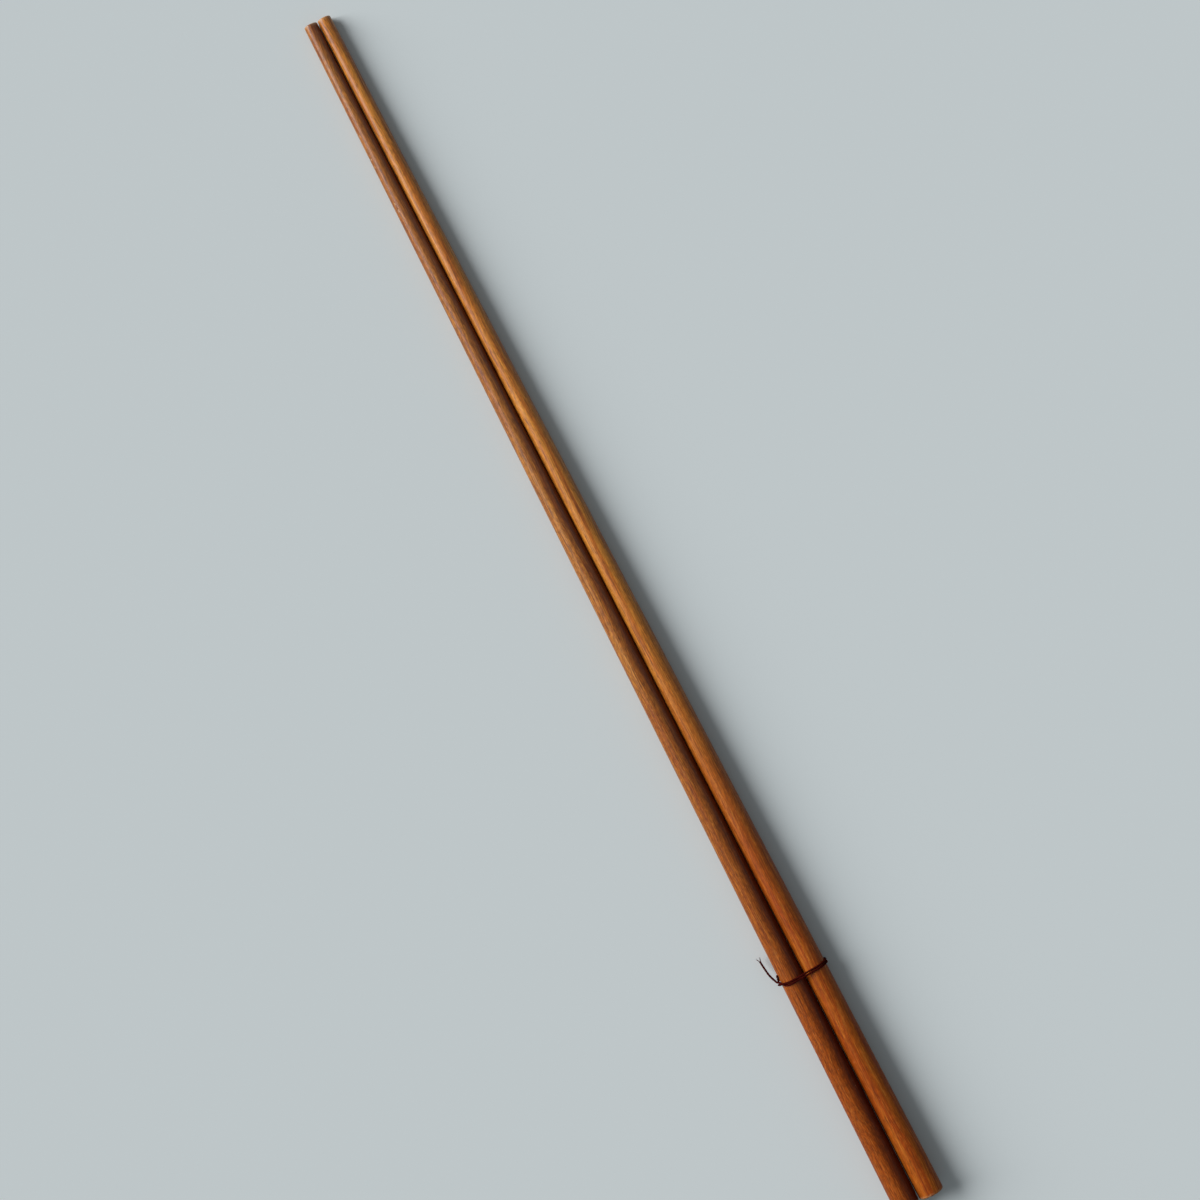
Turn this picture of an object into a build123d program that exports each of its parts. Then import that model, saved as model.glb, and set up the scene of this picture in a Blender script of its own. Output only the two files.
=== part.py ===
from build123d import *
import math
import os

# A pair of long wooden cooking chopsticks lying side by side, held together near
# their thick ends by a thin cord that goes twice round both of them.
#
# The frame: +Y runs from the middle towards the tips, +X to the right stick as the
# pair is seen from above with its tips away from the viewer, +Z up. The origin is on
# the surface that the pair lies on, under the middle of its length. "Station" is the
# distance along a stick from its tip. Lengths are in millimetres, angles in degrees.

# The sticks
stick_length = 420.0
tip_diameter = 4.45
middle_diameter = 6.65
handle_diameter = 8.4
tip_edge_radius = 0.4
handle_edge_radius = 0.6
stick_gap = 0.04

# The cord that ties them
cord_diameter = 0.7
cord_clearance = 0.04
tie_station = 340.0
# The tube of the cord has this many sides, which is round enough for so thin a thing.
cord_sides = 12

# A bend of the cord takes this share of the shorter of the two runs that it joins.
bend_radius_share = 0.45
# The corners of the route round the outer half of a stick that it simply goes round
wrap_corners = 4

left = -1
right = 1

# The route of the cord is chosen by hand, in strands: one strand is the width that the
# cord takes up, so the route follows the sticks and the cord when they change.
# A place beside a stick is the angle from straight up towards its outer side, the
# layer that the cord lies in there, and how far it is towards the tips from the tie's
# station. Layer 1 lies on the wood and layer 2 on one strand of cord.

# The long tail, from its free end to the left stick: how far it is outside the stick's
# layer 1, above the stick's axis, and towards the tips.
tail_in_air = (
    (3.4, -3.5, 14.4),
    (3.25, -2.9, 12.0),
    (2.95, -2.2, 9.6),
    (2.65, -1.4, 7.3),
    (2.25, -0.75, 5.6),
    (1.75, -0.3, 4.3),
    (1.35, 0.0, 3.5),
)
# The tail's strand passes over the short end, dives under the first turn and goes on
# over the left stick.
tail_on_left = (
    (87.0, 2.12, 2.8),
    (79.0, 1.8, 2.35),
    (71.0, 1.25, 2.0),
    (63.0, 1.0, 1.45),
    (54.5, 1.0, 0.8),
    (45.0, 1.0, 0.25),
    (35.0, 1.02, -0.05),
    (22.0, 1.02, -0.2),
    (6.0, 1.05, -0.12),
)
# How far towards the tips each strand is at the corners of its way round the right
# stick, from its top to its underside
first_turn_on_right = (0.52, 0.75, 0.85, 0.7)
second_turn_on_right = (1.6, 1.8, 2.2, 2.4)
# The first turn comes back up the left stick and over the tail's strand.
first_turn_on_left = (
    (157.5, 1.47, 0.1),
    (113.0, 1.46, 0.2),
    (92.0, 1.35, 0.75),
    (81.0, 1.6, 1.1),
    (72.0, 2.0, 1.3),
    (62.0, 2.1, 1.45),
    (51.0, 2.05, 1.4),
    (39.0, 1.7, 1.2),
    (25.0, 1.2, 1.0),
    (9.0, 1.1, 0.92),
)
# The second turn comes up further towards the tips, and its cut end is held under the
# tail's strand.
short_end_on_left = (
    (157.5, 1.47, 2.6),
    (114.0, 1.46, 2.4),
    (100.0, 1.08, 2.3),
    (89.0, 1.0, 2.6),
    (81.0, 1.0, 3.4),
    (74.0, 1.0, 4.3),
    (68.0, 1.0, 5.2),
)


# How far the swelling of a stick passes the straight line between its ends
stick_bulge = (middle_diameter - (tip_diameter + handle_diameter) / 2) / 2


def stick_profile():
    """The stick's swelling side, from its tip upwards, in a plane through its axis.
    The curve passes half as far out at its middle as its pull does."""
    pull = (middle_diameter / 2 + stick_bulge, stick_length / 2)
    return Bezier((tip_diameter / 2, 0), pull, (handle_diameter / 2, stick_length))


def stick_radius(station):
    """The side climbs evenly, so a station is the same share of it as of the stick."""
    return stick_profile().position_at(station / stick_length).X


# The width that one strand takes up, and how far a strand that lies on the wood runs
# from the stick's axis
strand = cord_diameter + cord_clearance
wrap_radius = stick_radius(tie_station) + cord_clearance + cord_diameter / 2


def axis_aside(station):
    """How far a stick's axis is from the middle of the pair, so that the swelling
    sides just clear each other at the middle of their length."""
    taper = (handle_diameter - tip_diameter) / 2 * station / stick_length
    return tip_diameter / 2 + taper + stick_bulge + stick_gap / 2


def axis_height(station):
    """How high a stick's axis is: the edge of the tip lies on the surface, and the
    cord under the tie holds the thick ends a little off it."""
    height_at_tip = stick_radius(tip_edge_radius)
    height_at_tie = cord_diameter / 2 + wrap_radius
    rise = (height_at_tie - height_at_tip) / (tie_station - tip_edge_radius)
    return height_at_tip + rise * (station - tip_edge_radius)


def axis_point(side, station):
    forward = stick_length / 2 - station
    return Vector(side * axis_aside(station), forward, axis_height(station))


def round_rim(stick, height, radius):
    """Rounds the rim of the flat face at this height along a stick."""
    face = stick.faces().filter_by(GeomType.PLANE).sort_by_distance((0, 0, height))[0]
    return fillet(face.outer_wire().edges(), radius)


def make_stick():
    """One turned stick along +Z, with its tip's flat face at zero."""
    side = stick_profile()
    tip_line = Line((0, 0), side @ 0)
    handle_line = Line(side @ 1, (0, stick_length))
    axis_line = Line((0, stick_length), (0, 0))
    section = make_face([tip_line, side, handle_line, axis_line])
    stick = revolve(Plane.XZ * section, axis=Axis.Z)
    stick = round_rim(stick, 0, tip_edge_radius)
    return round_rim(stick, stick_length, handle_edge_radius)


def place_stick(side):
    tip = axis_point(side, 0)
    towards_handle = axis_point(side, stick_length) - tip
    return Plane(origin=tip, z_dir=towards_handle) * make_stick()


def beside_stick(side, angle, layer, forward):
    """A corner of the cord's route beside one of the sticks."""
    reach = wrap_radius + (layer - 1) * strand
    turned = math.radians(angle)
    outwards = side * reach * math.sin(turned)
    upwards = reach * math.cos(turned)
    return axis_point(side, tie_station) + Vector(outwards, forward * strand, upwards)


def round_right(forwards):
    """The corners of a strand on its way over and round the right stick. They stand
    off the wood so that the runs between them just clear it."""
    step = math.degrees(math.pi) / wrap_corners
    stand_off = wrap_radius / math.cos(math.radians(step) / 2) - wrap_radius
    layer = 1 + stand_off / strand
    angles = [step / 2 + step * i for i in range(wrap_corners)]
    return [beside_stick(right, a, layer, f) for a, f in zip(angles, forwards)]


def round_left(places):
    return [beside_stick(left, *place) for place in places]


def free_tail():
    axis = axis_point(left, tie_station)
    places = []
    for out, up, forward in tail_in_air:
        outwards = left * (wrap_radius + out * strand)
        places.append(axis + Vector(outwards, forward * strand, up * strand))
    return places


def cord_route():
    """The corners of the cord's route, from the tail's free end to the tucked end."""
    tail = free_tail() + round_left(tail_on_left)
    first_turn = round_right(first_turn_on_right) + round_left(first_turn_on_left)
    second_turn = round_right(second_turn_on_right) + round_left(short_end_on_left)
    return tail + first_turn + second_turn


def bend_radii(route):
    """The radius of each corner of the route, as large as its two runs allow."""
    radii = []
    for before, corner, after in zip(route, route[1:], route[2:]):
        turn = (corner - before).get_angle(after - corner)
        shorter = min((corner - before).length, (after - corner).length)
        radii.append(bend_radius_share * shorter / math.tan(math.radians(turn) / 2))
    return radii


def make_tie():
    route = cord_route()
    radii = bend_radii(route)
    line = FilletPolyline(*route, radius=radii)
    start = Plane(origin=line @ 0, z_dir=line % 0)
    section = RegularPolygon(cord_diameter / 2, cord_sides)
    tie = sweep(start * section, path=line)
    print("tightest bends of the tie:", [round(r, 2) for r in sorted(radii)[:8]])
    print("length of the tie's cord:", round(line.length, 2))
    return tie


os.makedirs("parts", exist_ok=True)
export_step(place_stick(left), "parts/chopstick_left.step")
export_step(place_stick(right), "parts/chopstick_right.step")
export_step(make_tie(), "parts/tie_cord.step")
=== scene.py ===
import math
import random

import bpy
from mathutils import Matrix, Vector, noise


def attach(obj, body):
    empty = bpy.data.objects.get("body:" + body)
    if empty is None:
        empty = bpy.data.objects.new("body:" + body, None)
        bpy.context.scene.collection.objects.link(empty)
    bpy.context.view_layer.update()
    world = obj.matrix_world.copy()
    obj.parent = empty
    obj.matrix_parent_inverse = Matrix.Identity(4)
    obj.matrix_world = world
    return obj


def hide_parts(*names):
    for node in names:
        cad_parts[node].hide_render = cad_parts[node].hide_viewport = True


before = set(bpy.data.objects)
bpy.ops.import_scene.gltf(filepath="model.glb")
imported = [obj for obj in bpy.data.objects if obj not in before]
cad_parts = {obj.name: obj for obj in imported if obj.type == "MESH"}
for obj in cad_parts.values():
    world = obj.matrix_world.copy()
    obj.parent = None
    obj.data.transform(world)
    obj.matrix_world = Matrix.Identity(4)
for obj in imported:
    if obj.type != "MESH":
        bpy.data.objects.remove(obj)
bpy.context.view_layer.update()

# The looks of a tied pair of long wooden cooking chopsticks. Everything is in metres in
# the frame of the CAD model: +Y towards the tips, +X to the right stick, +Z up.
# "Station" is the distance along a stick from its tip.

sticks_body = "root"
left = -1
right = 1
millimetre = 0.001

# Sizes of the pair, as in the CAD model
stick_length = 0.420
tip_diameter = 0.00445
middle_diameter = 0.00665
handle_diameter = 0.0084
tip_edge_radius = 0.0004
handle_edge_radius = 0.0006
stick_gap = 0.00004
cord_diameter = 0.0007
cord_clearance = 0.00004
tie_station = 0.340
wrap_corners = 4

stick_bulge = (middle_diameter - (tip_diameter + handle_diameter) / 2) / 2


def stick_radius(station):
    """The swelling side is a curve with one pull at the middle of the length."""
    share = station / stick_length
    pull = middle_diameter / 2 + stick_bulge
    near_tip = (1 - share) ** 2 * tip_diameter / 2
    near_middle = 2 * share * (1 - share) * pull
    return near_tip + near_middle + share ** 2 * handle_diameter / 2


strand = cord_diameter + cord_clearance
wrap_radius = stick_radius(tie_station) + cord_clearance + cord_diameter / 2


def axis_aside(station):
    taper = (handle_diameter - tip_diameter) / 2 * station / stick_length
    return tip_diameter / 2 + taper + stick_bulge + stick_gap / 2


def axis_height(station):
    height_at_tip = stick_radius(tip_edge_radius)
    height_at_tie = cord_diameter / 2 + wrap_radius
    rise = (height_at_tie - height_at_tip) / (tie_station - tip_edge_radius)
    return height_at_tip + rise * (station - tip_edge_radius)


def axis_point(side, station):
    forward = stick_length / 2 - station
    return Vector((side * axis_aside(station), forward, axis_height(station)))


# The corners of the cord's route, in strands, as in the CAD model. A place beside a
# stick is the angle from straight up towards its outer side, the layer that the cord
# lies in, and how far it is towards the tips from the tie's station. A place in the air
# is how far it is outside the left stick's layer 1, above the stick's axis, and towards
# the tips.
tail_in_air = (
    (3.4, -3.5, 14.4),
    (3.25, -2.9, 12.0),
    (2.95, -2.2, 9.6),
    (2.65, -1.4, 7.3),
    (2.25, -0.75, 5.6),
    (1.75, -0.3, 4.3),
    (1.35, 0.0, 3.5),
)
tail_on_left = (
    (87.0, 2.12, 2.8),
    (79.0, 1.8, 2.35),
    (71.0, 1.25, 2.0),
    (63.0, 1.0, 1.45),
    (54.5, 1.0, 0.8),
    (45.0, 1.0, 0.25),
    (35.0, 1.02, -0.05),
    (22.0, 1.02, -0.2),
    (6.0, 1.05, -0.12),
)
first_turn_on_right = (0.52, 0.75, 0.85, 0.7)
second_turn_on_right = (1.6, 1.8, 2.2, 2.4)
first_turn_on_left = (
    (157.5, 1.47, 0.1),
    (113.0, 1.46, 0.2),
    (92.0, 1.35, 0.75),
    (81.0, 1.6, 1.1),
    (72.0, 2.0, 1.3),
    (62.0, 2.1, 1.45),
    (51.0, 2.05, 1.4),
    (39.0, 1.7, 1.2),
    (25.0, 1.2, 1.0),
    (9.0, 1.1, 0.92),
)
short_end_on_left = (
    (157.5, 1.47, 2.6),
    (114.0, 1.46, 2.4),
    (100.0, 1.08, 2.3),
    (89.0, 1.0, 2.6),
    (81.0, 1.0, 3.4),
    (74.0, 1.0, 4.3),
    (68.0, 1.0, 5.2),
)


def beside_stick(side, angle, layer, forward):
    reach = wrap_radius + (layer - 1) * strand
    turned = math.radians(angle)
    outwards = side * reach * math.sin(turned)
    upwards = reach * math.cos(turned)
    return axis_point(side, tie_station) + Vector((outwards, forward * strand, upwards))


def round_right(forwards):
    """The corners of a strand on its way over and round the right stick."""
    step = 180 / wrap_corners
    stand_off = wrap_radius / math.cos(math.radians(step) / 2) - wrap_radius
    layer = 1 + stand_off / strand
    angles = [step / 2 + step * i for i in range(wrap_corners)]
    return [beside_stick(right, a, layer, f) for a, f in zip(angles, forwards)]


def round_left(places):
    return [beside_stick(left, *place) for place in places]


def free_tail():
    axis = axis_point(left, tie_station)
    places = []
    for out, up, forward in tail_in_air:
        outwards = left * (wrap_radius + out * strand)
        places.append(axis + Vector((outwards, forward * strand, up * strand)))
    return places


def straight_between(before, after):
    """Two points on the long straight run between two groups of corners, each as far
    from its corner as the next corner is, so that the smooth line keeps it straight."""
    start, end = before[-1], after[0]
    along = (end - start).normalized()
    first = start + along * (start - before[-2]).length
    last = end - along * (after[1] - end).length
    return [first, last]


def cord_route():
    """The corners of the route, from the tail's free end to the tucked end."""
    groups = [
        free_tail() + round_left(tail_on_left),
        round_right(first_turn_on_right),
        round_left(first_turn_on_left),
        round_right(second_turn_on_right),
        round_left(short_end_on_left),
    ]
    route = list(groups[0])
    for before, after in zip(groups, groups[1:]):
        route += straight_between(before, after) + after
    return route


# Small helpers for objects and shader nodes


def new_object(name, points, faces, material):
    mesh = bpy.data.meshes.new(name)
    mesh.from_pydata(points, [], faces)
    mesh.polygons.foreach_set("use_smooth", [True] * len(mesh.polygons))
    mesh.materials.append(material)
    piece = bpy.data.objects.new(name, mesh)
    bpy.context.scene.collection.objects.link(piece)
    return piece


def new_material(name):
    material = bpy.data.materials.new(name)
    material.use_nodes = True
    return material, material.node_tree, material.node_tree.nodes["Principled BSDF"]


def new_group(name, sockets_in, sockets_out):
    """A shader node group with named sockets: each is (name, kind, value)."""
    group = bpy.data.node_groups.new(name, "ShaderNodeTree")
    for title, kind, value in sockets_in:
        socket = group.interface.new_socket(title, in_out="INPUT", socket_type=kind)
        if value is not None:
            socket.default_value = value
    for title, kind in sockets_out:
        group.interface.new_socket(title, in_out="OUTPUT", socket_type=kind)
    given = group.nodes.new("NodeGroupInput").outputs
    result = group.nodes.new("NodeGroupOutput").inputs
    return group, given, result


def feed(tree, socket, value):
    """Gives a socket a value, or links it to another node's output."""
    if isinstance(value, bpy.types.NodeSocket):
        tree.links.new(value, socket)
    else:
        socket.default_value = value


def put(tree, kind, inputs=None, **settings):
    """Adds a node with its settings, and feeds its inputs by name or place."""
    node = tree.nodes.new(kind)
    for name, value in settings.items():
        setattr(node, name, value)
    for name, value in (inputs or {}).items():
        feed(tree, node.inputs[name], value)
    return node


def sums(tree, operation, first, second=0.0):
    return put(tree, "ShaderNodeMath", {0: first, 1: second},
               operation=operation).outputs[0]


def moved(tree, operation, place, by):
    """A place multiplied by or added to another."""
    return put(tree, "ShaderNodeVectorMath", {0: place, 1: by},
               operation=operation).outputs[0]


def between(tree, value, low, high, to_low=0.0, to_high=1.0):
    """A value brought from one range to another, and held inside it."""
    return put(tree, "ShaderNodeMapRange",
               {"Value": value, "From Min": low, "From Max": high,
                "To Min": to_low, "To Max": to_high}).outputs["Result"]


def blended(tree, share, first, second, how="MIX"):
    node = put(tree, "ShaderNodeMix", data_type="RGBA", blend_type=how)
    for socket, value in ((0, share), (6, first), (7, second)):
        feed(tree, node.inputs[socket], value)
    return node.outputs[2]


def shaded(tree, colour, light):
    """A colour made lighter or darker by a value."""
    grey = put(tree, "ShaderNodeCombineColor",
               {"Red": light, "Green": light, "Blue": light}).outputs[0]
    return blended(tree, 1.0, colour, grey, "MULTIPLY")


def stretched_noise(tree, place, across, along, detail, roughness=0.5):
    """Noise drawn out along the stick: its scale across and along, per millimetre."""
    shape = moved(tree, "MULTIPLY", place, (across, along, across))
    return put(tree, "ShaderNodeTexNoise",
               {"Vector": shape, "Scale": 1.0, "Detail": detail,
                "Roughness": roughness}).outputs["Fac"]


def in_millimetres(tree):
    where = put(tree, "ShaderNodeTexCoord").outputs["Object"]
    return where, moved(tree, "MULTIPLY", where, (1 / millimetre,) * 3)


# The wood

groove_shade_tint = (0.32, 0.14, 0.10, 1)
nick_colour = (0.50, 0.30, 0.18, 1)


def make_grain_group():
    """Straight-grained stained wood: growth streaks, fibres, flecks, pores and nicks,
    and the slow change of colour and lacquer from the tip to the handle."""
    group, given, result = new_group(
        "Turned wood grain",
        [("Shift", "NodeSocketFloat", 0.0),
         ("Change Place", "NodeSocketFloat", 0.0),
         ("Flecks", "NodeSocketFloat", 0.5),
         ("Tip Colour", "NodeSocketColor", None),
         ("Handle Colour", "NodeSocketColor", None),
         ("Streak Colour", "NodeSocketColor", None),
         ("Light Colour", "NodeSocketColor", None),
         ("Dark Colour", "NodeSocketColor", None)],
        [("Colour", "NodeSocketColor"), ("Roughness", "NodeSocketFloat"),
         ("Lacquer", "NodeSocketFloat"), ("Height", "NodeSocketFloat")])
    where, place = in_millimetres(group)
    apart = put(group, "ShaderNodeCombineXYZ",
                {"X": given["Shift"], "Y": given["Shift"]}).outputs[0]
    place = moved(group, "ADD", place, apart)
    sway = stretched_noise(group, place, 0.02, 0.02, 1.0)
    swayed = put(group, "ShaderNodeCombineXYZ",
                 {"X": sums(group, "MULTIPLY", sway, 7.0),
                  "Z": sums(group, "MULTIPLY", sway, -5.0)}).outputs[0]
    grain = moved(group, "ADD", place, swayed)

    streaks = stretched_noise(group, grain, 0.70, 0.010, 2.0)
    fibres = stretched_noise(group, grain, 3.0, 0.060, 3.0, 0.65)
    threads = stretched_noise(group, grain, 8.0, 0.30, 2.0, 0.6)
    flecks = stretched_noise(group, grain, 2.3, 0.55, 2.0, 0.6)
    pores = stretched_noise(group, grain, 6.0, 0.42, 1.0)
    nicks = stretched_noise(group, place, 4.0, 2.2, 0.0)

    at = put(group, "ShaderNodeSeparateXYZ", {0: where}).outputs["Y"]
    before_change = sums(group, "SUBTRACT", at, given["Change Place"])
    towards_handle = put(group, "ShaderNodeMapRange",
                         {"Value": before_change, "From Min": 0.07, "From Max": -0.07},
                         interpolation_type="SMOOTHSTEP").outputs["Result"]
    colour = blended(group, towards_handle, given["Tip Colour"], given["Handle Colour"])
    streaky = between(group, streaks, 0.42, 0.62, 0.0, 0.8)
    colour = blended(group, streaky, colour, given["Streak Colour"])
    bright = sums(group, "MULTIPLY", between(group, fibres, 0.54, 0.70, 0.0, 0.55),
                  between(group, towards_handle, 0.0, 1.0, 1.0, 0.5))
    colour = blended(group, bright, colour, given["Light Colour"])
    dark = between(group, fibres, 0.50, 0.32, 0.0, 0.75)
    colour = blended(group, dark, colour, given["Dark Colour"])
    fine = between(group, threads, 0.35, 0.65, 0.80, 1.18)
    fleck_depth = sums(group, "MULTIPLY", between(group, flecks, 0.36, 0.64, -0.5, 0.5),
                       given["Flecks"])
    light = sums(group, "MULTIPLY", fine, sums(group, "ADD", fleck_depth, 1.0))
    colour = shaded(group, colour, light)
    # Painted shade: the left stick's side that lies in the groove against the right
    # stick is darkened.
    groove_shade = put(group, "ShaderNodeAttribute",
                    attribute_name="groove_shade").outputs["Fac"]
    colour = blended(group, groove_shade, colour, groove_shade_tint, "MULTIPLY")
    open_pores = between(group, pores, 0.66, 0.74)
    colour = blended(group, sums(group, "MULTIPLY", open_pores, 0.8), colour,
                     given["Dark Colour"])
    nicked = between(group, nicks, 0.80, 0.85, 0.0, 0.35)
    colour = blended(group, nicked, colour, nick_colour)
    group.links.new(colour, result["Colour"])

    lacquer = between(group, at, -0.16, 0.06, 0.04, 0.65)
    group.links.new(lacquer, result["Lacquer"])
    rough = between(group, threads, 0.3, 0.7, 0.52, 0.38)
    rough = sums(group, "ADD", rough, sums(group, "MULTIPLY", open_pores, 0.2))
    group.links.new(rough, result["Roughness"])
    raised = sums(group, "ADD", sums(group, "MULTIPLY", threads, 0.5),
                  sums(group, "MULTIPLY", fibres, 0.5))
    group.links.new(sums(group, "SUBTRACT", raised, open_pores), result["Height"])
    return group


def make_end_grain_group():
    """The cut ends show the fibres end on: darker, with a few growth rings and dots."""
    group, given, result = new_group(
        "Cut wood ends",
        [("Colour", "NodeSocketColor", None), ("Shift", "NodeSocketFloat", 0.0),
         ("Cut Colour", "NodeSocketColor", None)],
        [("Colour", "NodeSocketColor"), ("Ends", "NodeSocketFloat")])
    facing = put(group, "ShaderNodeNewGeometry").outputs["Normal"]
    along = put(group, "ShaderNodeSeparateXYZ", {0: facing}).outputs["Y"]
    cut = between(group, sums(group, "ABSOLUTE", along), 0.86, 0.97)
    place = in_millimetres(group)[1]
    aside = put(group, "ShaderNodeCombineXYZ", {"X": given["Shift"], "Z": 9.0})
    place = moved(group, "ADD", place, aside.outputs[0])
    rings = put(group, "ShaderNodeTexWave",
                {"Vector": place, "Scale": 0.28, "Distortion": 1.2, "Detail": 2.0},
                wave_type="RINGS", rings_direction="Y").outputs["Fac"]
    dots = put(group, "ShaderNodeTexNoise",
               {"Vector": place, "Scale": 5.0, "Detail": 2.0}).outputs["Fac"]
    light = sums(group, "MULTIPLY", between(group, rings, 0.0, 1.0, 0.72, 1.1),
                 between(group, dots, 0.35, 0.6, 0.7, 1.1))
    ends = shaded(group, given["Cut Colour"], light)
    group.links.new(blended(group, cut, given["Colour"], ends), result["Colour"])
    group.links.new(cut, result["Ends"])
    return group


def make_wear_and_rim_highlight_group():
    """Paler patches: wood stripped of its stain and lacquer at the chips, and a painted
    highlight in patches round the rounded rims at both ends.
    """
    group, given, result = new_group(
        "Worn chips and painted rim highlights",
        [("Colour", "NodeSocketColor", None), ("Paled Colour", "NodeSocketColor", None),
         ("Amount", "NodeSocketFloat", 0.6)],
        [("Colour", "NodeSocketColor"), ("Paled", "NodeSocketFloat")])
    where = put(group, "ShaderNodeTexCoord").outputs["Object"]
    at = put(group, "ShaderNodeSeparateXYZ", {0: where}).outputs["Y"]
    from_middle = sums(group, "ABSOLUTE", at)
    end = stick_length / 2
    near_end = between(group, from_middle, end - 0.0011, end - 0.0002)
    facing = put(group, "ShaderNodeNewGeometry").outputs["Normal"]
    along = put(group, "ShaderNodeSeparateXYZ", {0: facing}).outputs["Y"]
    on_rim = between(group, sums(group, "ABSOLUTE", along), 0.97, 0.75)
    rim_highlight_patches = put(group, "ShaderNodeTexNoise",
                 {"Vector": where, "Scale": 900.0, "Detail": 3.0}).outputs["Fac"]
    patchy = between(group, rim_highlight_patches, 0.35, 0.6)
    # Painted highlight: paler patches round the rounded rims of both ends, where light
    # catches the edges.
    rim = sums(group, "MULTIPLY", sums(group, "MULTIPLY", near_end, on_rim), patchy)
    chips = put(group, "ShaderNodeAttribute", attribute_name="chipped").outputs["Fac"]
    paled = sums(group, "MULTIPLY", sums(group, "MAXIMUM", rim, chips), given["Amount"])
    group.links.new(blended(group, paled, given["Colour"], given["Paled Colour"]),
                    result["Colour"])
    group.links.new(paled, result["Paled"])
    return group


def make_wood(name, groups, shift, change, flecks, tip, handle, streak, light, dark,
              cut, paled):
    """Stained hardwood under a thin satin lacquer."""
    grain_group, ends_group, wear_and_highlight_group = groups
    material, tree, shader = new_material(name)
    grain = put(tree, "ShaderNodeGroup", node_tree=grain_group)
    for title, value in (("Shift", shift), ("Change Place", change),
                         ("Flecks", flecks), ("Tip Colour", tip),
                         ("Handle Colour", handle), ("Streak Colour", streak),
                         ("Light Colour", light), ("Dark Colour", dark)):
        grain.inputs[title].default_value = value
    ends = put(tree, "ShaderNodeGroup", node_tree=ends_group)
    ends.inputs["Shift"].default_value = shift
    ends.inputs["Cut Colour"].default_value = cut
    tree.links.new(grain.outputs["Colour"], ends.inputs["Colour"])
    # Wood stripped of its stain at the chips, and a painted highlight round the rims of
    # the ends.
    wear_and_highlight = put(tree, "ShaderNodeGroup", node_tree=wear_and_highlight_group)
    wear_and_highlight.inputs["Paled Colour"].default_value = paled
    tree.links.new(ends.outputs["Colour"], wear_and_highlight.inputs["Colour"])
    tree.links.new(wear_and_highlight.outputs["Colour"], shader.inputs["Base Color"])
    tree.links.new(grain.outputs["Roughness"], shader.inputs["Roughness"])
    tree.links.new(grain.outputs["Lacquer"], shader.inputs["Coat Weight"])
    bump = put(tree, "ShaderNodeBump",
               {"Height": grain.outputs["Height"], "Strength": 0.35,
                "Distance": 0.00006})
    tree.links.new(bump.outputs["Normal"], shader.inputs["Normal"])
    shader.inputs["Specular IOR Level"].default_value = 0.15
    shader.inputs["Coat Roughness"].default_value = 0.34
    return material


# The two sticks

sides_of_stick = 120
ring_spacing = 0.0016
rim_steps = 5
face_shares = (0.3, 0.65)
chip_ring_spacing = 0.0001
unevenness = 0.000022
# Inside this radius the unevenness fades out towards the middle of the cut faces.
uneven_from_radius = tip_diameter / 3
# Painted shade on the left stick's side in the groove against the right stick: the
# angle it is centred on and its half width, in degrees.
groove_shade_angle = -55
groove_shade_half_width = 75

# Small chips in the left stick's upper outer flank, a few centimetres from its tip:
# station, angle from straight up, half the length along the stick, half the width, and
# depth
left_chips = (
    (0.0389, 52.0, 0.00050, 0.00024, 0.00012),
    (0.0471, 56.0, 0.00042, 0.00032, 0.00016),
    (0.0498, 60.0, 0.00060, 0.00020, 0.00010),
    (0.0632, 40.0, 0.00055, 0.00022, 0.00008),
    (0.0656, 36.0, 0.00070, 0.00026, 0.00010),
)


def side_stations(chips):
    """The rings between the two rounded rims, closer together across each chip."""
    count = round(stick_length / ring_spacing)
    first, last = tip_edge_radius, stick_length - handle_edge_radius
    stations = {round(first + (last - first) * i / count, 6) for i in range(count + 1)}
    for station, angle, half_length, half_width, depth in chips:
        steps = math.ceil(half_length / chip_ring_spacing) + 1
        for i in range(-steps, steps + 1):
            stations.add(round(station + i * chip_ring_spacing, 6))
    return sorted(stations)


def rim_rows(face_station, inwards, flat_radius, edge_radius):
    """Rings over a rounded rim, from the flat face towards the side."""
    rows = []
    for i in range(rim_steps):
        turn = math.pi / 2 * i / rim_steps
        sunk = edge_radius * (1 - math.cos(turn))
        radius = flat_radius + edge_radius * math.sin(turn)
        rows.append((face_station + inwards * sunk, radius))
    return rows


def turned_rows(chips):
    """Station and radius of each ring, from the tip's face to the handle's face."""
    tip_flat = stick_radius(tip_edge_radius) - tip_edge_radius
    handle_flat = stick_radius(stick_length - handle_edge_radius) - handle_edge_radius
    rows = [(0.0, tip_flat * share) for share in face_shares]
    rows += rim_rows(0.0, 1, tip_flat, tip_edge_radius)
    rows += [(station, stick_radius(station)) for station in side_stations(chips)]
    rows += reversed(rim_rows(stick_length, -1, handle_flat, handle_edge_radius))
    rows += [(stick_length, handle_flat * share) for share in reversed(face_shares)]
    return rows


def chip_here(chips, station, angle, radius):
    """How deep and how bare the wood is at this place, from the chips near it."""
    depth = paled = 0.0
    for at, turned, half_length, half_width, deepest in chips:
        along = (station - at) / half_length
        across = math.radians(angle - turned) * radius / half_width
        inside = 1 - along * along - across * across
        if inside > 0:
            depth = max(depth, deepest * math.sqrt(inside))
            paled = max(paled, min(1.0, 1.5 * inside))
    return depth, paled


def groove_shade_here(side, angle):
    """Painted shade: the left stick's side that lies in the groove against the right
    stick is darkened.
    """
    if side == right:
        return 0.0
    share = max(0.0, 1 - abs(angle - groove_shade_angle) / groove_shade_half_width)
    return share * share * (3 - 2 * share)


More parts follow.
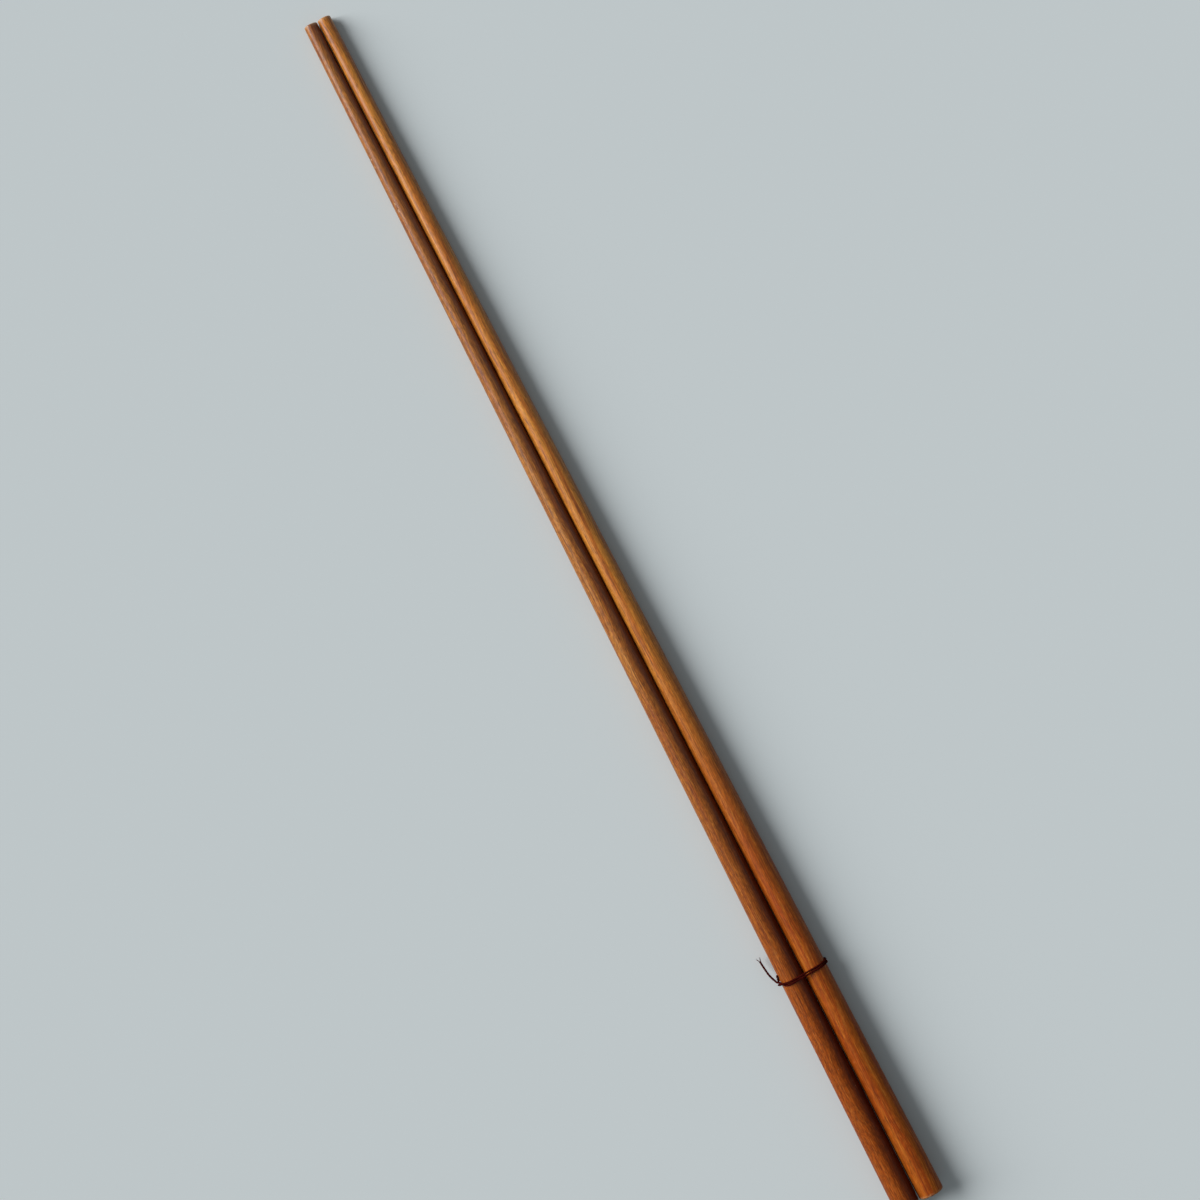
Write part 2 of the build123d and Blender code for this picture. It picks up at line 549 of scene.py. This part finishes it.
def make_stick(name, side, material, chips, seed):
    """One stick as it was turned and sanded by hand, so a little uneven."""
    tip = axis_point(side, 0)
    along = (axis_point(side, stick_length) - tip).normalized()
    up = (Vector((0, 0, 1)) - along * along.z).normalized()
    outwards = up.cross(along) * side
    rows = turned_rows(chips)
    points, faces, bareness, groove_shade = [], [], [], []
    for station, radius in rows:
        for i in range(sides_of_stick):
            angle = 360 * i / sides_of_stick
            turned = math.radians(angle)
            if angle > 180:
                angle -= 360
            depth, paled = chip_here(chips, station, angle, radius)
            spot = Vector((math.cos(turned) * 1.3 + seed, station * 55,
                           math.sin(turned) * 1.3))
            uneven = unevenness * noise.noise(spot)
            reach = radius + (uneven - depth) * min(1.0, radius / uneven_from_radius)
            direction = outwards * math.sin(turned) + up * math.cos(turned)
            points.append(tip + along * station + direction * reach)
            bareness.append(paled)
            groove_shade.append(groove_shade_here(side, angle))
    for row in range(len(rows) - 1):
        for i in range(sides_of_stick):
            a = row * sides_of_stick + i
            b = row * sides_of_stick + (i + 1) % sides_of_stick
            faces.append((a, b, b + sides_of_stick, a + sides_of_stick))
    last = (len(rows) - 1) * sides_of_stick
    faces.append(tuple(reversed(range(sides_of_stick))))
    faces.append(tuple(range(last, last + sides_of_stick)))
    if side == left:
        faces = [face[::-1] for face in faces]
    stick = new_object(name, points, faces, material)
    for title, values in (("chipped", bareness), ("groove_shade", groove_shade)):
        attribute = stick.data.attributes.new(title, "FLOAT", "POINT")
        attribute.data.foreach_set("value", values)
    return stick


# The cord: two plies twisted round each other, which press each other half round

line_steps = 14
twist_pitch = 0.0022
ply_offset = 0.00015
ply_inner = 0.00015
ply_outer = 0.00019
ply_half_width = 0.00028
ply_sides = 12
fork_length = 0.0011
fork_spread = 0.00040
hair_count = 320
hair_lengths = (0.00015, 0.00055)
fray_count = 26
fray_length = 0.00035
fibre_thickness = 0.000012
fibre_sides = 3
# Loose fibres that would come nearer to the floor than this are left out.
lowest_fibre = 0.00004


def smooth_line(corners):
    """The points of the smooth line that the cord follows through its route."""
    curve = bpy.data.curves.new("tie_line", "CURVE")
    curve.dimensions = "3D"
    spline = curve.splines.new("NURBS")
    spline.points.add(len(corners) - 1)
    for point, corner in zip(spline.points, corners):
        point.co = (*corner, 1.0)
    spline.order_u = 3
    spline.use_endpoint_u = True
    spline.resolution_u = line_steps
    carrier = bpy.data.objects.new("tie_line", curve)
    drawn = bpy.data.meshes.new_from_object(carrier)
    points = [vertex.co.copy() for vertex in drawn.vertices]
    bpy.data.objects.remove(carrier)
    bpy.data.curves.remove(curve)
    bpy.data.meshes.remove(drawn)
    return points


def carried_frames(points):
    """Along, aside and distance at each point. The aside starts level and is turned as
    little as can be."""
    frames = []
    aside = None
    distance = 0.0
    for i, point in enumerate(points):
        before, after = points[max(i - 1, 0)], points[min(i + 1, len(points) - 1)]
        along = (after - before).normalized()
        if aside is None:
            aside = along.cross(Vector((0, 0, 1)))
        aside = (aside - along * aside.dot(along)).normalized()
        if i:
            distance += (point - points[i - 1]).length
        frames.append((point, along, aside, distance))
    return frames


def tube_faces(rows, sides, base):
    """Faces of a closed tube whose points are counted from base."""
    faces = []
    for row in range(rows - 1):
        for i in range(sides):
            a = base + row * sides + i
            b = base + row * sides + (i + 1) % sides
            faces.append((a, b, b + sides, a + sides))
    last = base + (rows - 1) * sides
    faces.append(tuple(base + i for i in reversed(range(sides))))
    faces.append(tuple(last + i for i in range(sides)))
    return faces


def ply_rings(frames, ply):
    """The points of one ply, which winds round the cord's line and leaves it at the
    tail's free end, where the cord has come apart. With each comes its place on the
    ply, for the fibres' pattern."""
    points, places = [], []
    for point, along, aside, distance in frames:
        other = along.cross(aside)
        apart = max(0.0, 1 - distance / fork_length)
        twisted = max(0.0, distance - fork_length)
        turn = math.pi * ply + 2 * math.pi * twisted / twist_pitch
        radial = aside * math.cos(turn) + other * math.sin(turn)
        sideways = other * math.cos(turn) - aside * math.sin(turn)
        centre = point + radial * (ply_offset + fork_spread * apart ** 1.4)
        lump = 1 + 0.06 * noise.noise(Vector((distance * 1400, ply * 7.0, 0.3)))
        size = lump * (1 - 0.35 * apart)
        for i in range(ply_sides):
            around = 2 * math.pi * i / ply_sides
            reach = ply_outer if math.cos(around) > 0 else ply_inner
            width = ply_half_width * (1 - 0.3 * apart)
            points.append(centre + radial * (reach * size * math.cos(around))
                          + sideways * (width * size * math.sin(around)))
            fibre_turn = around + distance * 1700 + ply * 2.0
            places.append((math.cos(fibre_turn), math.sin(fibre_turn),
                           distance / millimetre))
    return points, places


def hair(start, out, along, reach, chance):
    """Five points of a loose fibre that leaves the cord at start and curls."""
    lean = along * chance.uniform(-1.0, 1.0)
    curl = Vector([chance.uniform(-0.4, 0.4) for axis in range(3)])
    return [start + (out * 0.5 + lean) * reach * t + curl * reach * t * t
            for t in (0.0, 0.25, 0.5, 0.75, 1.0)]


def thin_rings(line, thickness):
    """Three-sided rings along a loose fibre, thinner towards its end."""
    points = []
    for i, (point, along, aside, distance) in enumerate(carried_frames(line)):
        other = along.cross(aside)
        radius = thickness * (1 - 0.15 * i)
        for turn in (0.0, 2.1, 4.2):
            out = aside * math.cos(turn) + other * math.sin(turn)
            points.append(point + out * radius)
    return points


def loose_fibres(frames):
    """Fibres that stand off the cord along its length, and more at its frayed end."""
    chance = random.Random(11)
    lines = []
    for i in range(hair_count):
        point, along, aside, distance = frames[chance.randrange(4, len(frames) - 2)]
        turn = chance.uniform(0, 2 * math.pi)
        out = aside * math.cos(turn) + along.cross(aside) * math.sin(turn)
        start = point + out * cord_diameter * 0.40
        lines.append(hair(start, out, along, chance.uniform(*hair_lengths), chance))
    for i in range(fray_count):
        point, along, aside, distance = frames[0]
        side = 1 if i % 2 else -1
        start = point + aside * side * (ply_offset + fork_spread)
        out = Vector([chance.uniform(-1.0, 1.0) for axis in range(3)]).normalized()
        lines.append(hair(start, out - along * 1.2, aside * side, fray_length, chance))
    return [line for line in lines if min(point.z for point in line) > lowest_fibre]


def make_cord(material):
    route = smooth_line(cord_route())
    frames = carried_frames(route)
    points, faces, places = [], [], []
    for ply in range(2):
        faces += tube_faces(len(frames), ply_sides, len(points))
        rings, ring_places = ply_rings(frames, ply)
        points += rings
        places += ring_places
    for line in loose_fibres(frames):
        faces += tube_faces(len(line), fibre_sides, len(points))
        rings = thin_rings(line, fibre_thickness)
        points += rings
        places += [(0.0, 0.0, 0.0)] * len(rings)
    cord = new_object("tie_cord_twisted", points, faces, material)
    attribute = cord.data.attributes.new("fibre_place", "FLOAT_VECTOR", "POINT")
    attribute.data.foreach_set("vector", [value for place in places for value in place])
    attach(cord, sticks_body)
    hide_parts("tie_cord")


def make_cord_material():
    """Dyed cotton string: fibres that run along each ply, some darker than others."""
    material, tree, shader = new_material("maroon_string")
    place = put(tree, "ShaderNodeAttribute", attribute_name="fibre_place")
    drawn_out = moved(tree, "MULTIPLY", place.outputs["Vector"], (2.6, 2.6, 1.1))
    fibres = put(tree, "ShaderNodeTexNoise",
                 {"Vector": drawn_out, "Scale": 1.0, "Detail": 3.0}).outputs["Fac"]
    colour = blended(tree, between(tree, fibres, 0.34, 0.66),
                     (0.024, 0.0012, 0.0006, 1), (0.090, 0.0050, 0.0025, 1))
    tree.links.new(colour, shader.inputs["Base Color"])
    bump = put(tree, "ShaderNodeBump",
               {"Height": fibres, "Strength": 0.6, "Distance": 0.00005})
    tree.links.new(bump.outputs["Normal"], shader.inputs["Normal"])
    shader.inputs["Roughness"].default_value = 0.8
    shader.inputs["Specular IOR Level"].default_value = 0.06
    shader.inputs["Sheen Weight"].default_value = 0.01
    shader.inputs["Sheen Roughness"].default_value = 0.4
    shader.inputs["Sheen Tint"].default_value = (0.9, 0.25, 0.30, 1)
    return material


# The floor, the light and the camera

camera_height = 0.84
camera_lens = 79.0
view_centre = Vector((-0.0036, 0.0053, 0.0))
view_turn = math.radians(-27.09)
image_right = Vector((math.cos(view_turn), math.sin(view_turn), 0))
image_up = Vector((-math.sin(view_turn), math.cos(view_turn), 0))

pale_seen = (0.80, 0.865, 0.88, 1)
pale_bounced = (0.07, 0.076, 0.08, 1)


def rays_that_see(tree):
    """One for the rays that show a surface itself or its mirror image, else zero."""
    path = put(tree, "ShaderNodeLightPath").outputs
    seen = sums(tree, "MAXIMUM", path["Is Camera Ray"], path["Is Glossy Ray"])
    return sums(tree, "MAXIMUM", seen, path["Is Transmission Ray"])


def make_floor():
    """A plain pale floor, which shows its own colour but throws less of it back."""
    material, tree, shader = new_material("pale_floor")
    colour = blended(tree, rays_that_see(tree), pale_bounced, pale_seen)
    tree.links.new(colour, shader.inputs["Base Color"])
    shader.inputs["Roughness"].default_value = 0.9
    shader.inputs["Specular IOR Level"].default_value = 0.0
    half = 4.0
    corners = [(-half, -half, 0), (half, -half, 0), (half, half, 0), (-half, half, 0)]
    floor = new_object("floor", corners, [(0, 1, 2, 3)], material)
    floor.location.z = -0.00001


def make_window(towards, width, strength):
    """A broad soft light from far away, so that it falls evenly on the floor."""
    lamp = bpy.data.lights.new("window", "SUN")
    lamp.angle = math.radians(width)
    lamp.energy = strength
    holder = bpy.data.objects.new("window", lamp)
    holder.rotation_euler = towards.to_track_quat("Z", "Y").to_euler()
    bpy.context.scene.collection.objects.link(holder)


def make_world():
    world = bpy.data.worlds.new("studio")
    world.use_nodes = True
    tree = world.node_tree
    colour = blended(tree, rays_that_see(tree), (0.15, 0.16, 0.165, 1),
                     (0.50, 0.53, 0.535, 1))
    tree.links.new(colour, tree.nodes["Background"].inputs["Color"])
    bpy.context.scene.world = world


def make_camera():
    lens = bpy.data.cameras.new("camera")
    lens.lens = camera_lens
    lens.sensor_width = 36
    lens.clip_start = 0.01
    camera = bpy.data.objects.new("camera", lens)
    camera.location = view_centre + Vector((0, 0, camera_height))
    camera.rotation_euler = (0, 0, view_turn)
    bpy.context.scene.collection.objects.link(camera)
    bpy.context.scene.camera = camera


# The whole pair

wood_groups = (make_grain_group(), make_end_grain_group(), make_wear_and_rim_highlight_group())
left_wood = make_wood(
    "left_stick_wood", wood_groups, shift=0.0, change=-0.085, flecks=0.55,
    tip=(0.44, 0.158, 0.020, 1), handle=(0.30, 0.060, 0.003, 1),
    streak=(0.27, 0.058, 0.004, 1), light=(0.60, 0.250, 0.050, 1),
    dark=(0.085, 0.010, 0.001, 1), cut=(0.20, 0.055, 0.010, 1),
    paled=(0.66, 0.40, 0.20, 1))
right_wood = make_wood(
    "right_stick_wood", wood_groups, shift=137.0, change=-0.04, flecks=0.35,
    tip=(0.66, 0.245, 0.030, 1), handle=(0.33, 0.056, 0.003, 1),
    streak=(0.44, 0.110, 0.007, 1), light=(0.74, 0.330, 0.060, 1),
    dark=(0.12, 0.020, 0.002, 1), cut=(0.22, 0.062, 0.012, 1),
    paled=(0.66, 0.42, 0.21, 1))

for name, side, wood, chips, seed in (
        ("chopstick_left", left, left_wood, left_chips, 3.0),
        ("chopstick_right", right, right_wood, (), 8.0)):
    stick = make_stick(name + "_turned", side, wood, chips, seed)
    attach(stick, sticks_body)
    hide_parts(name)

make_cord(make_cord_material())
make_floor()
make_window(-image_right + image_up * 0.15 + Vector((0, 0, 0.50)), 44.0, 3.5)
make_world()
make_camera()

bpy.context.scene.view_settings.view_transform = "Standard"
